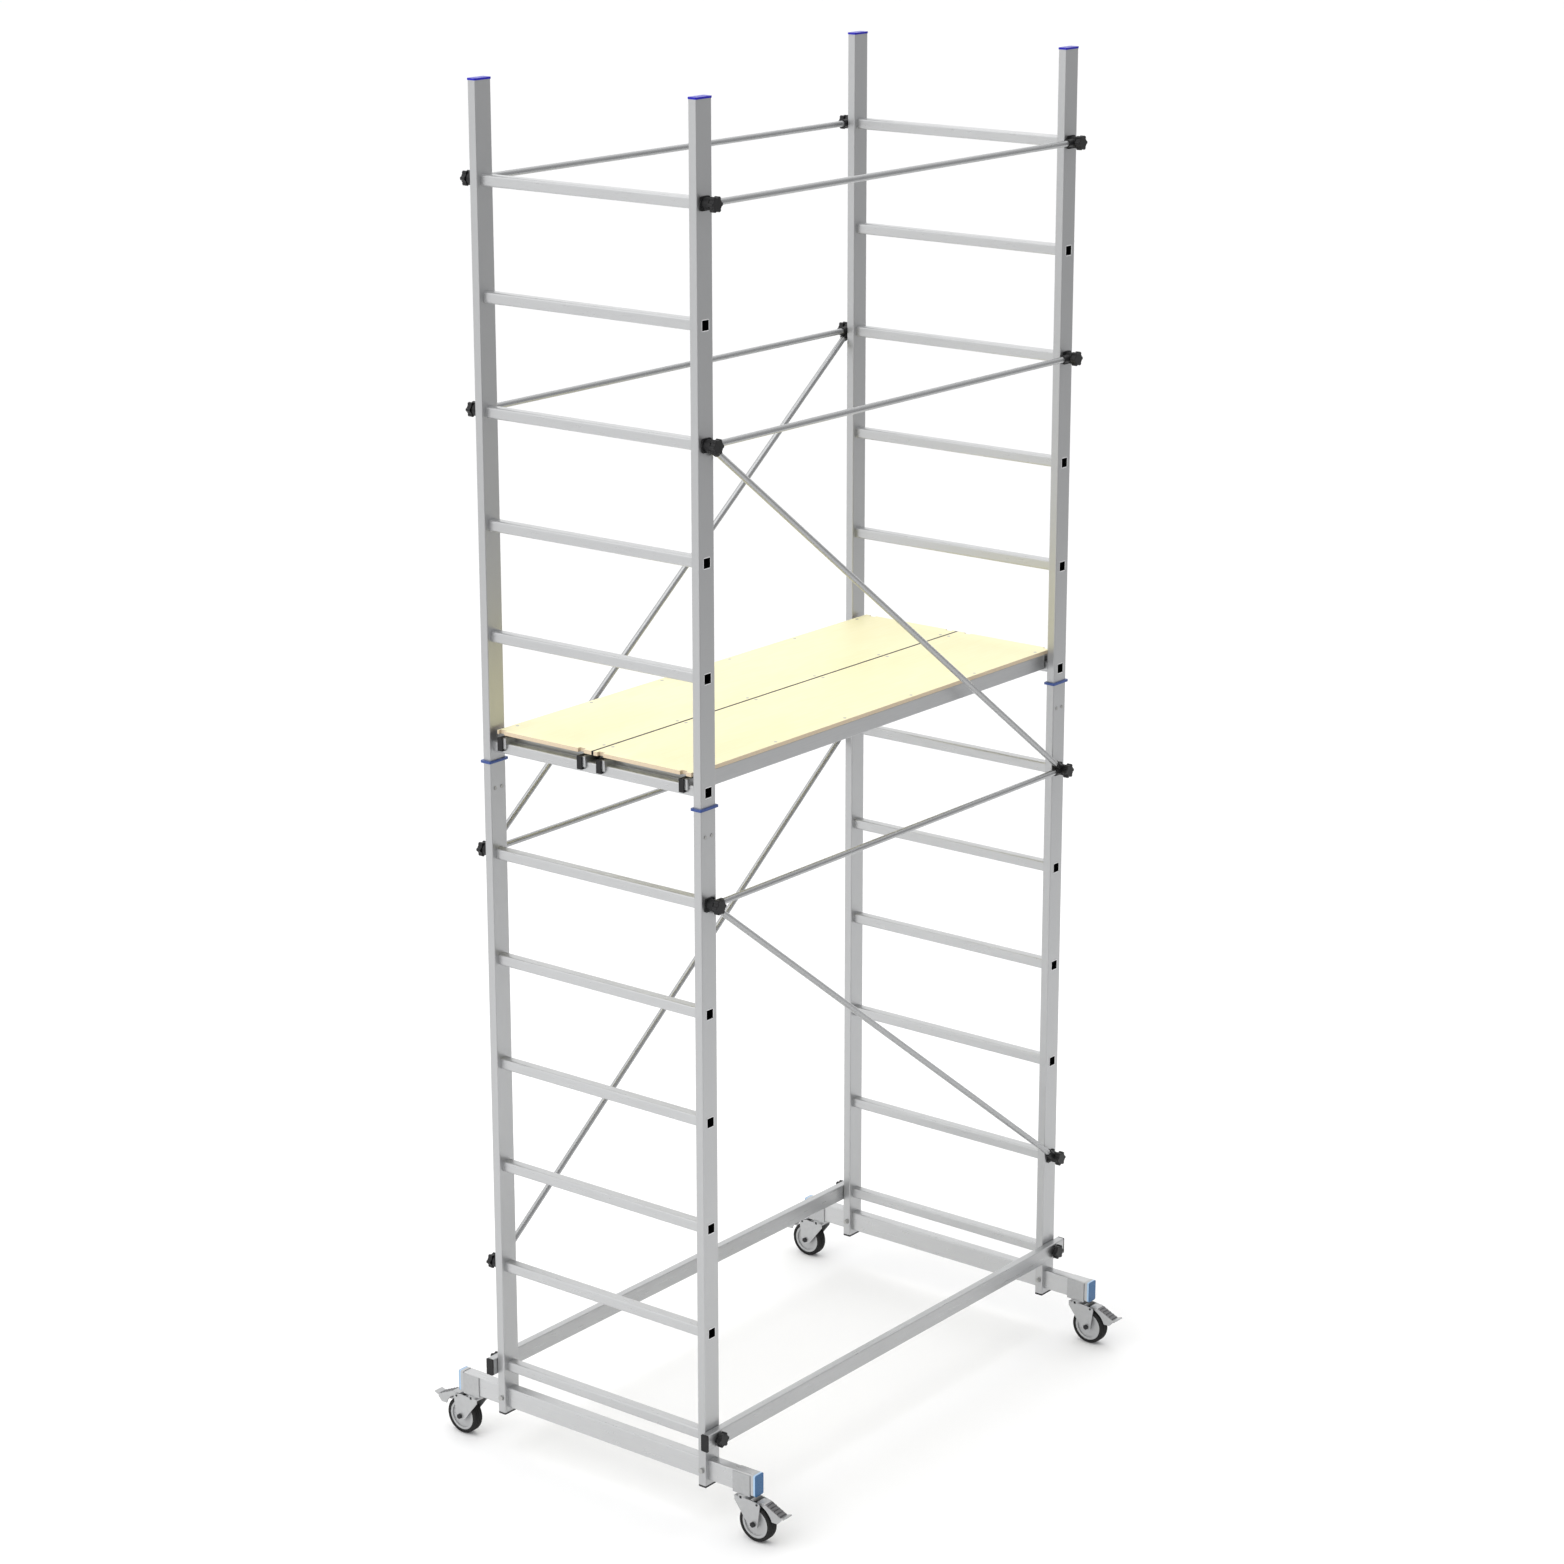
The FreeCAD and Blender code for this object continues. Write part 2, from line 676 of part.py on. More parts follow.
def make_pedal(sx, sy):
    """Brake pedal: sheet lever with side flanges, barrel on its pin, brake shoe and a ribbed tread."""
    x = sx * stile_x
    py = swivel_y + pedal_pivot_out
    pz = pedal_pivot_height
    bend = py + pedal_bend
    lip = py + pedal_lip
    lever = [(py - 4.0, pz + 5.0), (py + 17.0, pz + 7.0), (bend, pz - 17.0), (lip - 1.0, pz - 12.0),
             (lip, pz - 12.0 - pedal_sheet), (bend, pz - 21.5), (py + 16.0, pz + 2.5), (py, pz - 1.0)]
    plate = prism_x(lever, pedal_half_width, sy, x)
    barrel = rod(pedal_barrel_radius, (x - pedal_half_width, sy * py, pz),
                 (x + pedal_half_width, sy * py, pz))
    shoe = prism_x([(py + shoe_near, pz + 4.0), (py + shoe_far, pz - 4.0),
                    (py + shoe_far, pz - shoe_drop), (py + shoe_near, pz - shoe_drop)],
                   tyre_width / 2.0 - 4.0, sy, x)
    clear = rod(wheel_radius + shoe_gap, (x - tyre_width, sy * wheel_y, wheel_radius),
                (x + tyre_width, sy * wheel_y, wheel_radius))
    flange = [(py - 2.0, pz + 3.0), (py + 17.0, pz + 5.0), (bend, pz - 19.0), (bend + 2.0, pz - 24.0),
              (bend - 10.0, pz - 36.0), (py + 2.0, pz - 36.0)]
    flange_clear = rod(wheel_radius + shoe_gap + flange_gap, (x - tyre_width, sy * wheel_y, wheel_radius),
                       (x + tyre_width, sy * wheel_y, wheel_radius))
    flanges = []
    for side in ends:
        middle = x + side * (pedal_half_width - pedal_flange_sheet / 2.0)
        flanges.append(prism_x(flange, pedal_flange_sheet / 2.0, sy, middle).cut(flange_clear))
    body = fuse_all([plate, barrel, shoe.cut(clear)] + flanges)
    slope = 24.0 / (pedal_bend - 17.0)
    for step in range(tread_ribs):
        out = tread_rib_start + tread_rib_pitch * step
        y = py + out
        z = pz + 7.0 - (out - 17.0) * slope
        body = body.fuse(box(x - pedal_tread_half_width, x + pedal_tread_half_width,
                             sy * y, sy * (y + tread_rib_width), z - tread_rib_depth, z + tread_rib_rise))
    hole = rod(pedal_pin_radius + running_gap, (x - fork_inner, sy * py, pz), (x + fork_inner, sy * py, pz))
    solid = body.cut(hole).removeSplitter()
    return [max(solid.Solids, key=lambda piece: piece.Volume)]


def hook_centres(sx, sy):
    """Hook places on one end of a panel; each hook stands beside its cheek plate."""
    near = sy * (deck_seam_half + hook_seam_inset + hook_width / 2.0)
    far = sy * (deck_half_width - hook_edge_inset - hook_width / 2.0)
    return [near - sx * hook_offset, far - sx * hook_offset]


def saddle_over_rung(sx, y0, y1, thickness, height):
    """Hooked plate that drops over the joint rung from the end bar of a deck panel."""
    bottom = hook_top - height
    outer = sx * (stile_x + rung_half + hook_play + thickness)
    block = box(sx * deck_frame_end(), outer, y0, y1, bottom, hook_top)
    room = box(sx * (stile_x - rung_half - hook_play), sx * (stile_x + rung_half + hook_play),
               y0 - 1, y1 + 1, bottom - 1, joint_rung_height + rung_half)
    return block.cut(room)


def screw_places(sy):
    inset = deck_rail_width / 2.0
    rows = [sy * (deck_seam_half + inset), sy * (deck_half_width - inset)]
    span = 2 * (deck_half_length - 60.0)
    places = []
    for y in rows:
        for step in range(screws_per_rail):
            places.append((-span / 2.0 + span * step / (screws_per_rail - 1), y))
    return places


def deck_frame_end():
    return stile_x - rung_half - deck_end_gap


def make_board(sy):
    board = box(-deck_half_length, deck_half_length, sy * deck_seam_half, sy * deck_half_width,
                board_bottom, deck_top_height)
    cutters = []
    notch = hook_width / 2.0 + notch_margin
    for sx in ends:
        for y in hook_centres(sx, sy):
            cutters.append(box(sx * (deck_half_length - notch_depth), sx * (deck_half_length + 1), y - notch,
                               y + notch, board_bottom - 1, deck_top_height + 1))
    for x, y in screw_places(sy):
        cutters.append(screw(x, y))
    return [board.cut(cutters)]


def screw(x, y):
    head = Part.makeCone(screw_radius, screw_head_radius, screw_head_height,
                         FreeCAD.Vector(x, y, deck_top_height - screw_head_height))
    shank = rod(screw_radius, (x, y, deck_top_height - screw_length - deck_rail_wall),
                (x, y, deck_top_height - screw_head_height))
    return head.fuse(shank)


def make_deck_frame(sy):
    """Two side rails, the end and cross bars, and the hook cheeks of one deck panel."""
    pieces = []
    end = deck_frame_end()
    inner = deck_seam_half
    outer = deck_half_width
    low = board_bottom - deck_rail_height
    holes = [screw(x, y) for x, y in screw_places(sy)]
    for y0 in (inner, outer - deck_rail_width):
        centre = (sy * (y0 + deck_rail_width / 2.0), low + deck_rail_height / 2.0)
        rail = round_tube("X", deck_rail_width, deck_rail_height, 2.0, deck_rail_wall, centre, -end, end)
        pieces.append(rail.cut(holes))
    bar_low = inner + deck_rail_width
    bar_high = outer - deck_rail_width
    for step in range(cross_bar_count):
        reach = end - cross_bar_size / 2.0
        x = -reach + 2 * reach * step / (cross_bar_count - 1)
        centre = (x, board_bottom - cross_bar_size / 2.0)
        pieces.append(round_tube("Y", cross_bar_size, cross_bar_size, 2.0, deck_rail_wall, centre,
                                 sy * bar_low, sy * bar_high))
    return pieces + make_cheeks(sy)


def make_hooks(sy):
    hooks = []
    for sx in ends:
        for y in hook_centres(sx, sy):
            half = hook_width / 2.0
            hooks.append(saddle_over_rung(sx, y - half, y + half, hook_thickness, hook_height))
    return hooks


def make_cheeks(sy):
    cheeks = []
    for sx in ends:
        for y in hook_centres(sx, sy):
            edge = y + sx * hook_width / 2.0
            cheeks.append(saddle_over_rung(sx, *sorted((edge, edge + sx * cheek_width)), cheek_thickness,
                                           cheek_height))
    return cheeks


os.makedirs("parts", exist_ok=True)

export("lower_stiles", make_stiles(rungs_per_section + 1, stile_foot_height, lower_stile_top))
export("upper_stiles", make_stiles(1, upper_stile_bottom, stile_top))
export("lower_rungs", make_rungs(rungs_per_section + 1))
export("upper_rungs", make_rungs(1))
export("spigots", make_spigots())
export("spigot_collars", make_collars())
export("top_caps", [stile_plug(sx, sy, cap_overhang, stile_top, stile_top + cap_thickness,
                               stile_top - cap_plug_depth, stile_top) for sx, sy in corners])
export("foot_plugs", [stile_plug(sx, sy, 0.0, stile_foot_height - foot_flange, stile_foot_height,
                                 stile_foot_height, stile_foot_height + foot_plug_depth)
                      for sx, sy in corners])
export("crossbeams", make_crossbeams())
export("crossbeam_caps", make_beam_caps())
export("frame_fasteners", make_fasteners())
export("base_rails", make_base_rails())
export("base_rail_plugs", make_rail_plugs())
export("horizontal_braces", make_braces(horizontal_braces))
export("diagonal_braces", make_braces(diagonal_braces))
export("brace_hubs", make_hubs())
export("rung_inserts", make_inserts())
export("caster_saddles", make_saddles())

side_names = {-1: "front", 1: "back"}
end_names = {-1: "left", 1: "right"}

for sx, sy in corners:
    place = end_names[sx] + "_" + side_names[sy]
    export("caster_fork_" + place, make_fork(sx, sy))
    export("caster_wheel_" + place, make_wheel(sx, sy))
    export("caster_tyre_" + place, make_tyre(sx, sy))
    export("brake_pedal_" + place, make_pedal(sx, sy))

for sy in ends:
    export("deck_board_" + side_names[sy], make_board(sy))
    export("deck_frame_" + side_names[sy], make_deck_frame(sy))
    export("deck_hooks_" + side_names[sy], make_hooks(sy))
    export("deck_screws_" + side_names[sy], [screw(x, y) for x, y in screw_places(sy)])

knob = make_knob()
for sx, level in knob_places():
    placed = knob.copy()
    placed.translate(FreeCAD.Vector(sx * stile_x, 0, rung_height(level)))
    label = "rung" + str(level)
    export("knob_" + end_names[sx] + "_front_" + label, [placed])
    export("knob_" + end_names[-sx] + "_back_" + label, [half_turn(placed)])
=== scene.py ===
import bpy, json, math
from mathutils import Matrix, Vector


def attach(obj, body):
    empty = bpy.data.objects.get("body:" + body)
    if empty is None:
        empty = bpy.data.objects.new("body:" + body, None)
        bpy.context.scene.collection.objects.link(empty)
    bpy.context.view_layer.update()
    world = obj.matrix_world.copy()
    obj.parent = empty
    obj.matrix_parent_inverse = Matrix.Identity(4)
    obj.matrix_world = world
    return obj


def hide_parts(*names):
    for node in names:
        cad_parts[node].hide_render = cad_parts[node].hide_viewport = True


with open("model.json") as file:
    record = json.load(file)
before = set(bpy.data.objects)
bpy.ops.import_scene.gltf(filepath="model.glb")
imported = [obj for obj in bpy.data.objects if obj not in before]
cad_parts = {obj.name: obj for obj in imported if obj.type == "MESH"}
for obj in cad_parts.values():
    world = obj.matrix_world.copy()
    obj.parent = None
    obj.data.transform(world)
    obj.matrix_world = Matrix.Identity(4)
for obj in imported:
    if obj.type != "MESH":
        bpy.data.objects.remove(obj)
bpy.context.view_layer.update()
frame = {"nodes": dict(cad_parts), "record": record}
record = frame["record"]
nodes = frame["nodes"]

# Places on the tower, in metres.
HALF_BAY = 0.744            # middle plane of each end frame, either side of X = 0
WHEEL_Y = 0.496             # wheel centres, either side of Y = 0
WHEEL_Z = 0.050
BEAM_END = 0.500            # outer face of the crossbeam caps
RUNG_END = 0.3505           # outer end of the rungs
BOTTOM_RUNG = 0.2395        # height of the lowest rung's axis
PITCH = 0.280               # from one rung to the next

# Edges of the areas that are painted by position, in metres.
RUNG_INSIDE = 0.0122        # a rung's inner walls lie within this distance of its axis
PALE_END_DEPTH = 0.0002         # how far in from its end a rung is painted pale, as a sawn face with a painted highlight
FORK_CHEEK = 0.0207         # a fork's cheeks end here and its axle nuts stand outside
CAP_FACE_DEPTH = 0.0012
CAP_RIM_DEPTH = 0.0065
PATCH_START = 0.5285        # tread patch of a pedal, along Y
PATCH_END = 0.5775
SEAM_SHADE_HALF = 0.0034          # half the width of the dark band of painted shade along the seam between the decks

# Solid tyre, in metres from the wheel's centre: (offset along X, radius) of a rounded shoulder,
# from the wheel outwards, and three grooves round the tread.
SHOULDER = [(0.0150, 0.0402), (0.0150, 0.0455), (0.0142, 0.0478), (0.0125, 0.0492), (0.0100, 0.0498)]
TREAD_RADIUS = 0.04997
GROOVE_RADIUS = 0.0488
GROOVE_PITCH = 0.0070
GROOVE_HALF_TOP = 0.0010
GROOVE_HALF_BOTTOM = 0.0007

# How grain is stretched: long along the named axis, fine across it.
ALONG_X = (0.6, 14, 14)
ALONG_Y = (14, 0.6, 14)
ALONG_Z = (14, 14, 0.6)
EVEN = (1, 1, 1)

ALUMINIUM = (0.465, 0.47, 0.475)
ZINC = (0.46, 0.465, 0.47)

# Studio, in metres. Far out on the -Y side the floor is painted darker, to about half, as painted shade,
# and the surroundings dim to about half.
FLOOR_HALF = 90
FLOOR_Z = -0.0005
FLOOR_DIM_START = -2.2
FLOOR_DIM_END = -6.5
SKY_DIM_END = -0.60         # Y part of the view direction at which the surroundings are dimmest
SKY_STRENGTH = 1.24

CAMERA_LENS = 87.25         # millimetres, on a 36 mm sensor
CAMERA_SENSOR = 36.0
CAMERA_SHIFT = (-0.00946, -0.0079)
CAMERA_PLACE = (-7.4343, -5.8373, 4.4851)
CAMERA_FORWARD = (0.7572, 0.5908, -0.2785)
CAMERA_RIGHT = (0.6152, -0.7884, 0.0003)


# Shader building blocks.


def new_material(name):
    mat = bpy.data.materials.new(name)
    mat.use_nodes = True
    tree = mat.node_tree
    return mat, tree, tree.nodes["Principled BSDF"]


def add(tree, kind, **props):
    node = tree.nodes.new(kind)
    for key, value in props.items():
        setattr(node, key, value)
    return node


def coordinates(tree, stretch):
    coord = add(tree, "ShaderNodeTexCoord")
    mapping = add(tree, "ShaderNodeMapping")
    mapping.inputs["Scale"].default_value = stretch
    tree.links.new(coord.outputs["Object"], mapping.inputs["Vector"])
    return mapping.outputs["Vector"]


def noise(tree, vector, scale, detail=4.0):
    node = add(tree, "ShaderNodeTexNoise")
    node.inputs["Scale"].default_value = scale
    node.inputs["Detail"].default_value = detail
    tree.links.new(vector, node.inputs["Vector"])
    return node.outputs["Fac"]


def spread(tree, value, low, high, from_low=0.3, from_high=0.7):
    """Maps a value onto low to high; the usual input range is that of noise."""
    node = add(tree, "ShaderNodeMapRange")
    node.inputs["From Min"].default_value = from_low
    node.inputs["From Max"].default_value = from_high
    node.inputs["To Min"].default_value = low
    node.inputs["To Max"].default_value = high
    tree.links.new(value, node.inputs["Value"])
    return node.outputs["Result"]


def blend(tree, factor, first, second):
    """Mixes two colours, each a tuple or another node's output."""
    node = add(tree, "ShaderNodeMix", data_type="RGBA")
    tree.links.new(factor, node.inputs["Factor"])
    for socket, value in ((node.inputs[6], first), (node.inputs[7], second)):
        if isinstance(value, tuple):
            socket.default_value = (*value, 1.0)
        else:
            tree.links.new(value, socket)
    return node.outputs[2]


def math_node(tree, operation, first, second=None):
    """Maths on a node's output and, if given, a number or another node's output."""
    node = add(tree, "ShaderNodeMath", operation=operation)
    tree.links.new(first, node.inputs[0])
    if isinstance(second, float):
        node.inputs[1].default_value = second
    elif second is not None:
        tree.links.new(second, node.inputs[1])
    return node.outputs[0]


def one_axis(tree, vector, axis):
    split = add(tree, "ShaderNodeSeparateXYZ")
    tree.links.new(vector, split.inputs["Vector"])
    return split.outputs[axis]


def axis_value(tree, axis):
    return one_axis(tree, add(tree, "ShaderNodeTexCoord").outputs["Object"], axis)


def reach(tree, axis):
    """Distance along an axis from the middle of the tower, to either side."""
    return math_node(tree, "ABSOLUTE", axis_value(tree, axis))


def facing(tree, axis):
    """How squarely a face looks along an axis, to either side."""
    normal = add(tree, "ShaderNodeNewGeometry").outputs["True Normal"]
    return math_node(tree, "ABSOLUTE", one_axis(tree, normal, axis))


def from_end_plane(tree):
    """Distance along X from the middle plane of the nearer end frame."""
    return math_node(tree, "ABSOLUTE", math_node(tree, "SUBTRACT", reach(tree, "X"), HALF_BAY))


def paint_over(mat, mask, color):
    """Lays a colour over the base colour wherever the mask is 1."""
    tree = mat.node_tree
    base = tree.nodes["Principled BSDF"].inputs["Base Color"]
    old = base.links[0].from_socket
    tree.links.new(blend(tree, mask, old, color), base)


def add_relief(tree, shader, height, strength, distance):
    relief = add(tree, "ShaderNodeBump")
    relief.inputs["Strength"].default_value = strength
    relief.inputs["Distance"].default_value = distance
    tree.links.new(height, relief.inputs["Height"])
    tree.links.new(relief.outputs["Normal"], shader.inputs["Normal"])


def shade(color, amount):
    return tuple(max(0.0, min(1.0, c * amount)) for c in color)


# Materials.


def surface(name, color, metallic, rough, stretch=EVEN, grain=60.0, tone=0.015, rough_range=0.10,
            bump=0.05, specular=0.5):
    """Fine grain stretched along one axis, slow tone changes from handling, and a matching bump."""
    mat, tree, shader = new_material(name)
    fine = noise(tree, coordinates(tree, stretch), grain)
    slow = noise(tree, coordinates(tree, EVEN), 5.0, 3.0)
    base = blend(tree, spread(tree, slow, 0.0, 1.0), shade(color, 1.0 - tone), shade(color, 1.0 + tone))
    final = blend(tree, spread(tree, fine, 0.0, 0.30), base, shade(color, 1.0 - 2 * tone))
    tree.links.new(final, shader.inputs["Base Color"])
    tree.links.new(spread(tree, fine, rough - rough_range, rough + rough_range), shader.inputs["Roughness"])
    add_relief(tree, shader, fine, bump, 0.0003)
    shader.inputs["Metallic"].default_value = metallic
    shader.inputs["Specular IOR Level"].default_value = specular
    return mat


def fork_material():
    """Zinc pressing with black axle nuts: the nuts stand outside the fork's cheeks."""
    mat = surface("fork_steel", ZINC, 0.75, 0.38, grain=90.0, tone=0.05)
    tree = mat.node_tree
    outside = math_node(tree, "GREATER_THAN", from_end_plane(tree), FORK_CHEEK)
    paint_over(mat, outside, (0.03, 0.03, 0.032))
    return mat


def plywood_material():
    """Pale film-coated faces with faint grain along X, brown layered edges and a dark band of painted shade
    along the seam.
    """
    mat, tree, shader = new_material("plywood")
    grain = noise(tree, coordinates(tree, (2.5, 55, 55)), 6.0, 6.0)
    slow = noise(tree, coordinates(tree, (1, 3, 1)), 2.2, 2.0)
    face = blend(tree, spread(tree, slow, 0.0, 1.0), (0.88, 0.82, 0.50), (0.92, 0.87, 0.56))
    face = blend(tree, spread(tree, grain, 0.0, 0.30), face, (0.84, 0.77, 0.45))
    layer = add(tree, "ShaderNodeTexWave", bands_direction="Z")
    layer.inputs["Scale"].default_value = 130.0
    layer.inputs["Distortion"].default_value = 0.6
    tree.links.new(coordinates(tree, EVEN), layer.inputs["Vector"])
    edge = blend(tree, layer.outputs["Fac"], (0.55, 0.42, 0.28), (0.80, 0.68, 0.50))
    flat = math_node(tree, "GREATER_THAN", facing(tree, "Z"), 0.7)
    tree.links.new(blend(tree, flat, edge, face), shader.inputs["Base Color"])
    tree.links.new(spread(tree, grain, 0.40, 0.62), shader.inputs["Roughness"])
    add_relief(tree, shader, grain, 0.12, 0.0004)
    # The long edges along the seam are painted dark: painted shade in the gap between the decks.
    seam_shade = math_node(tree, "LESS_THAN", reach(tree, "Y"), SEAM_SHADE_HALF)
    paint_over(mat, seam_shade, (0.035, 0.032, 0.028))
    return mat


def rung_material():
    """Bright tube with a pale sawn end that is partly a painted highlight, and near-black painted shade on
    the inner walls.
    """
    metallic = 0.80
    mat = surface("rung_aluminium", (0.51, 0.515, 0.52), metallic, 0.36, ALONG_Y, 30.0)
    tree = mat.node_tree
    # The sawn end is painted pale: a dull cut face, partly a painted highlight.
    sawn_end_highlight = math_node(tree, "GREATER_THAN", reach(tree, "Y"), RUNG_END - PALE_END_DEPTH)
    paint_over(mat, sawn_end_highlight, (0.86, 0.865, 0.87))
    # PINGPONG with half the pitch gives the height above or below the nearest rung axis.
    above_lowest = math_node(tree, "SUBTRACT", axis_value(tree, "Z"), BOTTOM_RUNG)
    from_axis = math_node(tree, "PINGPONG", above_lowest, PITCH / 2)
    furthest = math_node(tree, "MAXIMUM", from_end_plane(tree), from_axis)
    # The inner walls are painted near-black: painted shade inside the hollow tube.
    painted_shade_inside = math_node(tree, "LESS_THAN", furthest, RUNG_INSIDE)
    paint_over(mat, painted_shade_inside, (0.012, 0.012, 0.013))
    # The sawn end isn't metallic, so it doesn't mirror its surroundings and stays pale whatever it faces,
    # partly a painted highlight.
    dulled = spread(tree, sawn_end_highlight, metallic, 0.0, 0.0, 1.0)
    tree.links.new(dulled, tree.nodes["Principled BSDF"].inputs["Metallic"])
    return mat


def beam_cap_material():
    """Dark blue end face, a narrow pale blue rim behind it, then a silver sleeve on the beam."""
    mat = surface("blue_beam_cap", ZINC, 0.0, 0.34, grain=220.0, tone=0.05)
    tree = mat.node_tree
    along = reach(tree, "Y")
    rim = math_node(tree, "GREATER_THAN", along, BEAM_END - CAP_RIM_DEPTH)
    face = math_node(tree, "GREATER_THAN", along, BEAM_END - CAP_FACE_DEPTH)
    paint_over(mat, rim, (0.38, 0.55, 0.74))
    paint_over(mat, face, (0.020, 0.120, 0.290))
    return mat


def pedal_material():
    """Zinc pedal with a dark tread patch on its ribs, but not on its sides."""
    mat = surface("pedal_dark", ZINC, 0.75, 0.40, grain=160.0, tone=0.06)
    tree = mat.node_tree
    along = reach(tree, "Y")
    past_start = math_node(tree, "GREATER_THAN", along, PATCH_START)
    before_end = math_node(tree, "LESS_THAN", along, PATCH_END)
    off_sides = math_node(tree, "LESS_THAN", facing(tree, "X"), 0.5)
    between = math_node(tree, "MULTIPLY", past_start, before_end)
    paint_over(mat, math_node(tree, "MULTIPLY", between, off_sides), (0.15, 0.15, 0.155))
    return mat


def floor_material():
    """Pale floor, painted darker far out on the -Y side as painted shade of a light falloff."""
    mat, tree, shader = new_material("floor_paper")
    grain = noise(tree, coordinates(tree, EVEN), 3.0, 3.0)
    white = blend(tree, spread(tree, grain, 0.0, 1.0), (0.970, 0.970, 0.970), (0.985, 0.985, 0.985))
    # The floor's colour is painted down to mid grey towards -Y: painted shade.
    painted_falloff_shade = spread(tree, axis_value(tree, "Y"), 0.0, 1.0, FLOOR_DIM_START, FLOOR_DIM_END)
    tree.links.new(blend(tree, painted_falloff_shade, white, (0.50, 0.50, 0.50)), shader.inputs["Base Color"])
    shader.inputs["Roughness"].default_value = 0.8
    return mat


materials = {
    "stile_aluminium": surface("stile_aluminium", ALUMINIUM, 0.85, 0.34, ALONG_Z, 30.0, tone=0.01,
                               rough_range=0.04, bump=0.02),
    "rung_aluminium": rung_material(),
    "spigot_aluminium": surface("spigot_aluminium", ALUMINIUM, 0.80, 0.40, ALONG_Y, 30.0),
    "beam_aluminium": surface("beam_aluminium", (0.54, 0.545, 0.55), 0.80, 0.36, ALONG_Y, 26.0),
    "rail_aluminium": surface("rail_aluminium", ALUMINIUM, 0.85, 0.36, ALONG_X, 26.0),
    "brace_aluminium": surface("brace_aluminium", (0.39, 0.395, 0.40), 0.88, 0.26, ALONG_X, 26.0),
    "deck_aluminium": surface("deck_aluminium", (0.47, 0.475, 0.48), 0.80, 0.38, ALONG_X, 26.0),
    "blue_collar": surface("blue_collar", (0.025, 0.065, 0.26), 0.0, 0.38, grain=260.0, tone=0.10),
    "blue_cap": surface("blue_cap", (0.010, 0.005, 0.42), 0.0, 0.36, grain=260.0, tone=0.10,
                        specular=0.3),
    "blue_beam_cap": beam_cap_material(),
    "black_rubber": surface("black_rubber", (0.030, 0.030, 0.032), 0.0, 0.66, grain=300.0, tone=0.20,
                            specular=0.3),
    "black_plastic": surface("black_plastic", (0.014, 0.014, 0.015), 0.0, 0.50, grain=420.0, tone=0.20,
                             specular=0.25),
    "knob_black": surface("knob_black", (0.010, 0.010, 0.011), 0.0, 0.40, grain=420.0, tone=0.20,
                          specular=0.3),
    "zinc_steel": surface("zinc_steel", (0.42, 0.42, 0.41), 0.85, 0.38, grain=160.0, tone=0.06),
    "grey_steel": surface("grey_steel", (0.44, 0.445, 0.45), 0.75, 0.42, grain=120.0, tone=0.05),
    "fork_steel": fork_material(),
    "wheel_grey": surface("wheel_grey", (0.46, 0.465, 0.47), 0.0, 0.44, grain=240.0, tone=0.06),
    "black_tyre": surface("black_tyre", (0.014, 0.014, 0.014), 0.0, 0.72, grain=340.0, tone=0.25,
                          bump=0.3, specular=0.25),
    "pedal_dark": pedal_material(),
    "plywood": plywood_material(),
}
finish_of = {part["node"]: part["material_slot"] for part in record["subparts"]}
finish_of["base_rails"] = "rail_aluminium"      # their grain runs along X
for name, obj in nodes.items():
    obj.data.materials.clear()
    obj.data.materials.append(materials[finish_of[name]])


# Tyres, and small rolled edges on carried-over nodes.


def soften(name, width):
    """Small rolled edges on a carried-over node; its own mesh stays as it is."""
    modifier = nodes[name].modifiers.new("soft_edges", "BEVEL")
    modifier.width = width
    modifier.segments = 2
    modifier.limit_method = "ANGLE"
    modifier.angle_limit = math.radians(40)
    modifier.use_clamp_overlap = True


def link_object(name, data):
    obj = bpy.data.objects.new(name, data)
    bpy.context.scene.collection.objects.link(obj)
    return obj


def mesh_object(name, verts, faces, material):
    mesh = bpy.data.meshes.new(name)
    mesh.from_pydata(verts, [], faces)
    mesh.update()
    mesh.materials.append(material)
    return link_object(name, mesh)


def turned(name, profile, x, y, z, slot, body, steps=96):
    """Closed ring about an X axis from a (offset along X, radius) profile."""
    verts, faces = [], []
    count = len(profile)
    for i in range(steps):
        angle = 2 * math.pi * i / steps
        for offset, radius in profile:
            verts.append((x + offset, y + radius * math.cos(angle), z + radius * math.sin(angle)))
    for i in range(steps):
        this, after = i * count, (i + 1) % steps * count
        for j in range(count):
            k = (j + 1) % count
            faces.append((this + j, this + k, after + k, after + j))
    obj = mesh_object(name, verts, faces, materials[slot])
    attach(obj, body)
    return obj


tread = [(-offset, radius) for offset, radius in SHOULDER]
for step in (-1, 0, 1):
    groove = step * GROOVE_PITCH
    tread += [(groove - GROOVE_HALF_TOP, TREAD_RADIUS), (groove - GROOVE_HALF_BOTTOM, GROOVE_RADIUS),
              (groove + GROOVE_HALF_BOTTOM, GROOVE_RADIUS), (groove + GROOVE_HALF_TOP, TREAD_RADIUS)]
tread += reversed(SHOULDER)
for sx, end in ((-1, "left"), (1, "right")):
    for sy, side in ((-1, "front"), (1, "back")):
        place = end + "_" + side
        tyre = turned("tyre_tread_" + place, tread, sx * HALF_BAY, sy * WHEEL_Y, WHEEL_Z, "black_tyre",
                      "wheel_" + place)
        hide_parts("caster_tyre_" + place)

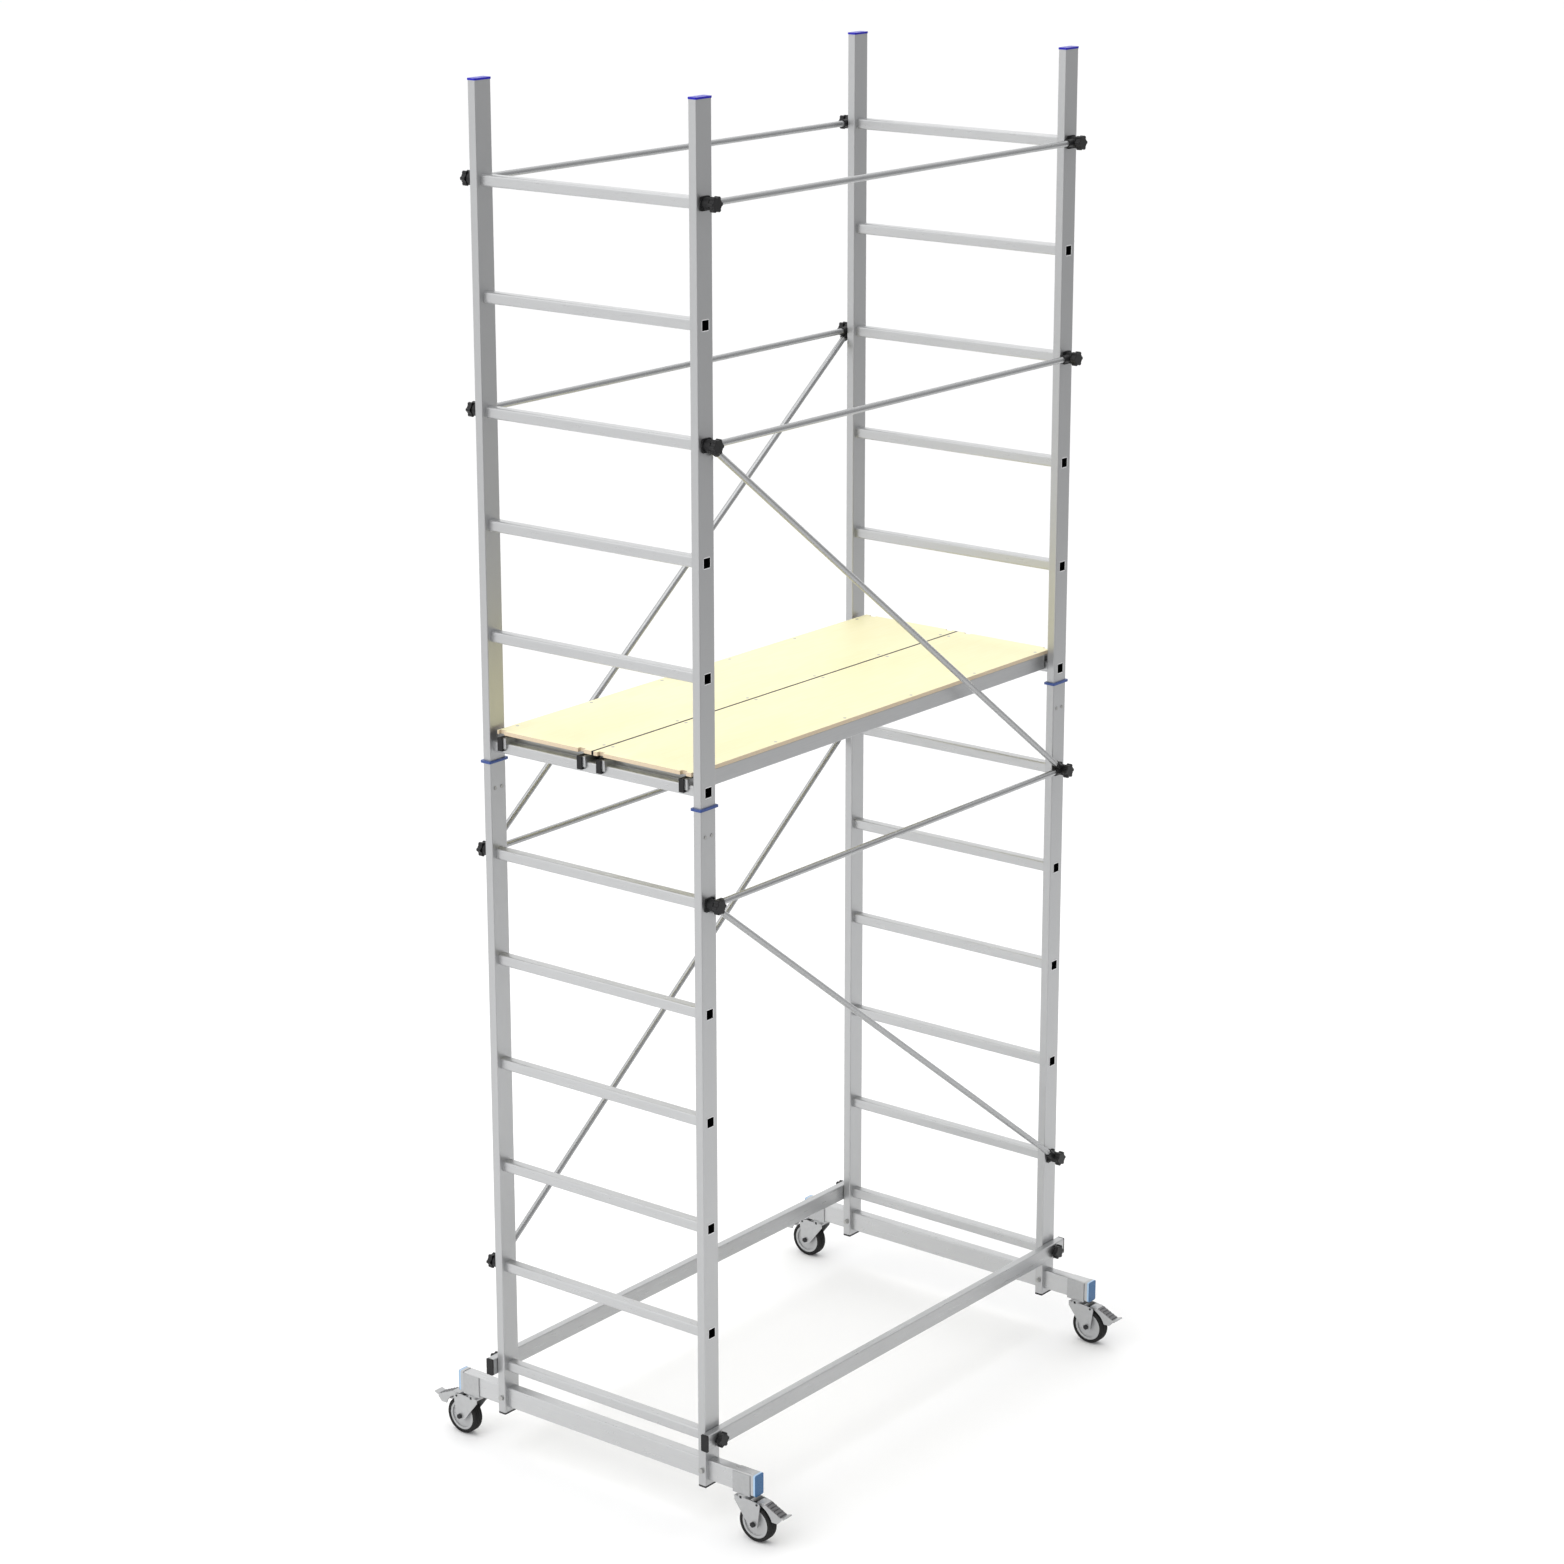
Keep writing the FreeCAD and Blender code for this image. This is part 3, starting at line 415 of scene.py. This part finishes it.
for name, width in (("spigot_collars", 0.0008), ("crossbeam_caps", 0.0008), ("caster_saddles", 0.0006)):
    soften(name, width)
for side in ("front", "back"):
    soften("deck_board_" + side, 0.0008)
    soften("deck_hooks_" + side, 0.0012)


# Studio.


def area_light(name, place, target, power, size):
    data = bpy.data.lights.new(name, "AREA")
    data.shape = "SQUARE"
    data.size = size
    data.energy = power
    obj = link_object(name, data)
    obj.location = place
    obj.rotation_euler = (Vector(target) - Vector(place)).to_track_quat("-Z", "Y").to_euler()


corners = ((-1, -1), (1, -1), (1, 1), (-1, 1))
floor_corners = [(sx * FLOOR_HALF, sy * FLOOR_HALF, FLOOR_Z) for sx, sy in corners]
floor = mesh_object("floor", floor_corners, [(0, 1, 2, 3)], floor_material())

world = bpy.data.worlds.new("studio")
bpy.context.scene.world = world
world.use_nodes = True
sky = world.node_tree
background = sky.nodes["Background"]
view_y = one_axis(sky, add(sky, "ShaderNodeTexCoord").outputs["Generated"], "Y")
towards_front = spread(sky, view_y, 0.0, 1.0, 0.0, SKY_DIM_END)
sky.links.new(blend(sky, towards_front, (1.0, 1.0, 1.0), (0.46, 0.46, 0.465)), background.inputs["Color"])
background.inputs["Strength"].default_value = SKY_STRENGTH

area_light("key", (-6.5, 1.5, 6.0), (0, 0, 1.6), 90.0, 5.0)
area_light("top", (0.0, 0.0, 8.0), (0, 0, 0), 110.0, 6.0)

camera_data = bpy.data.cameras.new("photo_view")
camera_data.sensor_width = CAMERA_SENSOR
camera_data.lens = CAMERA_LENS
camera_data.shift_x, camera_data.shift_y = CAMERA_SHIFT
camera_data.clip_end = 200.0
camera = link_object("photo_view", camera_data)
forward = Vector(CAMERA_FORWARD).normalized()
right = Vector(CAMERA_RIGHT)
right = (right - forward * right.dot(forward)).normalized()
up = right.cross(forward)
turn = Matrix((right, up, -forward)).transposed()
camera.matrix_world = Matrix.Translation(CAMERA_PLACE) @ turn.to_4x4()
bpy.context.scene.camera = camera
bpy.context.scene.view_settings.view_transform = "Standard"
